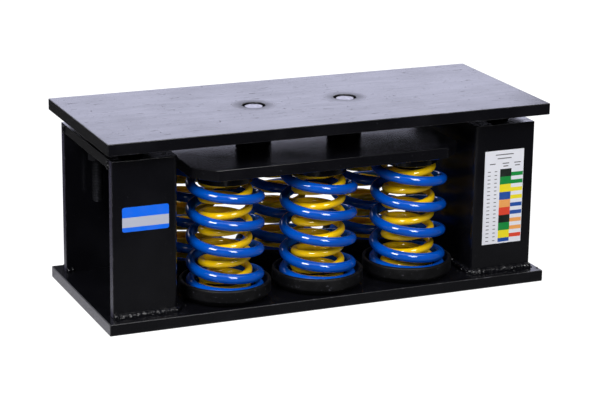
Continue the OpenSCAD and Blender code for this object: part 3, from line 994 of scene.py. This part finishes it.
class ISOLATOR_OT_right_chart(bpy.types.Operator):
    """White film chart with rows of coloured cells and small grey dashes"""
    bl_idname = "isolator.right_chart"
    bl_label = "Chart"

    def execute(self, context):
        colours = context.scene.isolator_colours
        rows = context.scene.isolator_sizes.chart_rows
        low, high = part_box("right_chart")
        width, height = high.x - low.x, high.z - low.z
        chart = add_block("film_chart", low, high)
        head = high.z - 0.20 * height
        foot = low.z + 0.015 * height
        row_h = (head - foot) / rows
        first, second, last = low.x + 0.40 * width, low.x + 0.69 * width, high.x - 0.01 * width
        slice_label(chart, 2, [foot + row_h * i for i in range(rows + 1)])
        slice_label(chart, 0, (first, second, last))
        inks = [linear(code) for code in ("#16201A", "#0E8C3C", "#F2E023", "#1F4FA3", "#F2A65A", "#E2472F")]

        def choose(p, n):
            row = int((head - p.z) / row_h)
            if n.y > -0.5 or not first < p.x < last or not foot < p.z < head or (p.x > second and row % 2 == 0):
                return colours.film
            return inks[(row // 2 if p.x < second else row // 4 + 1) % len(inks)]
        ink_faces(chart, choose)
        dashes = []
        front = low.y - 0.03 * MM
        for i, (across, wide) in enumerate(((0.12, 3.6), (0.29, 3.0))):
            place = (low.x + across * width, front, foot + row_h / 2)
            dash = add_dash(f"dash_{i}", place, wide * MM, 0.9 * MM)
            modify(dash, "ARRAY", count=rows, use_relative_offset=False, use_constant_offset=True,
                   constant_offset_displace=(0, 0, row_h))
            dashes.append(dash)
        # Shares of the chart across and down, and the length in millimetres, of each heading
        headings = ((0.5, 0.045, 22), (0.5, 0.085, 17), (0.2, 0.14, 7), (0.54, 0.14, 8), (0.84, 0.14, 8),
                    (0.54, 0.17, 6), (0.84, 0.17, 6))
        for i, (across, down, wide) in enumerate(headings):
            place = (low.x + across * width, front, high.z - down * height)
            dashes.append(add_dash(f"heading_{i}", place, wide * MM, 1.1 * MM))
        for dash in dashes:
            ink_faces(dash, lambda p, n: colours.dash)
        chart = join("film_chart", chart, *dashes)
        fit(coat(chart, printed_film), "base", "white_label", "right_chart")
        return {"FINISHED"}


def shown(add):
    """A value that is 1 where the camera, a reflection or a clear body shows a thing, and 0 where it gives light."""
    path = add("LightPath")
    seen = add("Math", (path.outputs["Is Camera Ray"], path.outputs["Is Glossy Ray"]), operation="MAXIMUM")
    return add("Math", (seen, path.outputs["Is Transmission Ray"]), operation="MAXIMUM")


def hang_card(card, shade):
    """Makes a piece a card of one even shade that only reflections show."""
    felt = bpy.data.materials.new(card.name + "_felt")
    add = empty_tree(felt)
    glow = add("Emission", {"Color": WHITE, "Strength": shade})
    add("OutputMaterial", {"Surface": glow})
    card.data.materials.append(felt)
    card.visible_camera = card.visible_diffuse = card.visible_transmission = False
    card.visible_volume_scatter = card.visible_shadow = False


def direction(azimuth, elevation):
    """The direction of a place so many degrees round from the front towards the right, and up."""
    a, e = math.radians(azimuth), math.radians(elevation)
    return Vector((math.sin(a) * math.cos(e), -math.cos(a) * math.cos(e), math.sin(e)))


class ISOLATOR_OT_stage(bpy.types.Operator):
    """Pale floor, white background, cards that keep the reflections dark, soft studio lights and the camera"""
    bl_idname = "isolator.stage"
    bl_label = "Stage"

    def execute(self, context):
        scene = context.scene
        scene.view_settings.view_transform = "Standard"
        deselect()
        bpy.ops.mesh.primitive_plane_add(size=FLOOR_SIZE, location=(0, 0, -0.2 * MM))
        floor = settle("floor")
        paper = bpy.data.materials.new("floor_paper")
        add = empty_tree(paper)
        lift = add("Math", (shown(add), FLOOR_GLOW), operation="MULTIPLY")
        diffuse = add("BsdfDiffuse", {"Color": (FLOOR_GREY, FLOOR_GREY, FLOOR_GREY, 1)})
        glow = add("Emission", {"Color": WHITE, "Strength": lift})
        add("OutputMaterial", {"Surface": add("AddShader", (diffuse, glow))})
        floor.data.materials.append(paper)

        scene.world = bpy.data.worlds.new("studio")
        add = empty_tree(scene.world)
        strength = add("MapRange", (shown(add), 0.0, 1.0, WORLD_LIGHT, 1.0))
        add("OutputWorld", {"Surface": add("Background", {"Color": WHITE, "Strength": strength})})

        low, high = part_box("base_plate")
        gap, near, deep, far = 3 * MM, 30 * MM, 260 * MM, 3.0
        dark, dim, grey, pale = 0.03, 0.06, 0.13, 0.2
        west, east, south, north = low.x - gap, high.x + gap, low.y - gap, high.y + gap
        for name, shade, corner, opposite in (
                ("card_front", grey, (west, low.y - deep), (far, south)),
                ("flag_front", dark, (west, -far), (far, low.y - deep)),
                ("flag_rear", dark, (west, north), (far, far)),
                ("flag_right", pale, (east, south), (far, north)),
                ("card_left", dim, (-far, -far), (low.x - near, far))):
            hang_card(add_block(name, (*corner, -0.1 * MM), (*opposite, -0.05 * MM)), shade)
        back, top = high.y + near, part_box("pressure_plate")[0].z
        hang_card(add_block("flag_back", (low.x, back, 0), (high.x, back + MM, top)), dark)
        deselect()
        bpy.ops.mesh.primitive_circle_add(vertices=64, radius=WALL_RADIUS)
        wall = settle("flag_wall")
        with editing(wall):
            bpy.ops.mesh.extrude_edges_move(TRANSFORM_OT_translate={"value": (0, 0, WALL_HEIGHT)})
        hang_card(wall, dim)

        for name, azimuth, elevation, distance, wide, tall, radiance, tint in LAMPS:
            lamp = bpy.data.lights.new(name, "AREA")
            lamp.shape = "RECTANGLE"
            lamp.size, lamp.size_y = wide, tall
            lamp.energy = radiance * math.pi * wide * tall
            lamp.color = tint
            holder = place_data(name, lamp)
            out = direction(azimuth, elevation)
            holder.location = Vector(LAMP_TARGET) + distance * out
            holder.rotation_euler = out.to_track_quat("Z", "Y").to_euler()
            holder.visible_camera = False

        back, roll = direction(CAMERA_AZIMUTH, CAMERA_ELEVATION), math.radians(CAMERA_ROLL)
        right = (-back).cross(Vector((0, 0, 1))).normalized()
        up = back.cross(right)
        rolled = (math.cos(roll) * right + math.sin(roll) * up, math.cos(roll) * up - math.sin(roll) * right, back)
        camera = bpy.data.cameras.new("camera")
        camera.lens, camera.sensor_width = CAMERA_LENS, CAMERA_SENSOR
        scene.camera = place_data("camera", camera)
        scene.camera.matrix_world = Matrix.Translation(CAMERA_PLACE) @ Matrix(rolled).transposed().to_4x4()
        return {"FINISHED"}


OPERATORS = (
    ISOLATOR_OT_base_plate, ISOLATOR_OT_end_channels, ISOLATOR_OT_cap_plates, ISOLATOR_OT_welds, ISOLATOR_OT_base_cups,
    ISOLATOR_OT_outer_springs, ISOLATOR_OT_inner_springs, ISOLATOR_OT_top_seats, ISOLATOR_OT_pressure_plate,
    ISOLATOR_OT_levelling_bolts, ISOLATOR_OT_lock_nuts, ISOLATOR_OT_top_plate, ISOLATOR_OT_restraint_studs,
    ISOLATOR_OT_snubber_bushes, ISOLATOR_OT_rebound_stops, ISOLATOR_OT_left_tag, ISOLATOR_OT_right_chart,
    ISOLATOR_OT_stage,
)


class ISOLATOR_PT_panel(bpy.types.Panel):
    """Lists the isolator's pieces, sizes and colours"""
    bl_idname = "ISOLATOR_PT_panel"
    bl_label = "Spring isolator"
    bl_space_type = "VIEW_3D"
    bl_region_type = "UI"
    bl_category = "Isolator"

    def draw(self, context):
        for operator in OPERATORS:
            self.layout.operator(operator.bl_idname)
        for group in (context.scene.isolator_sizes, context.scene.isolator_colours):
            box = self.layout.box()
            for key in group.__annotations__:
                box.prop(group, key)


CLASSES = (IsolatorSizes, IsolatorColours, *OPERATORS, ISOLATOR_PT_panel)


def register():
    for part in CLASSES:
        bpy.utils.register_class(part)
    bpy.types.Scene.isolator_sizes = PointerProperty(type=IsolatorSizes)
    bpy.types.Scene.isolator_colours = PointerProperty(type=IsolatorColours)


def unregister():
    del bpy.types.Scene.isolator_colours
    del bpy.types.Scene.isolator_sizes
    for part in reversed(CLASSES):
        bpy.utils.unregister_class(part)


def main():
    register()
    for operator in OPERATORS:
        group, name = operator.bl_idname.split(".")
        getattr(getattr(bpy.ops, group), name)()
    deselect()


if __name__ == "__main__":
    main()
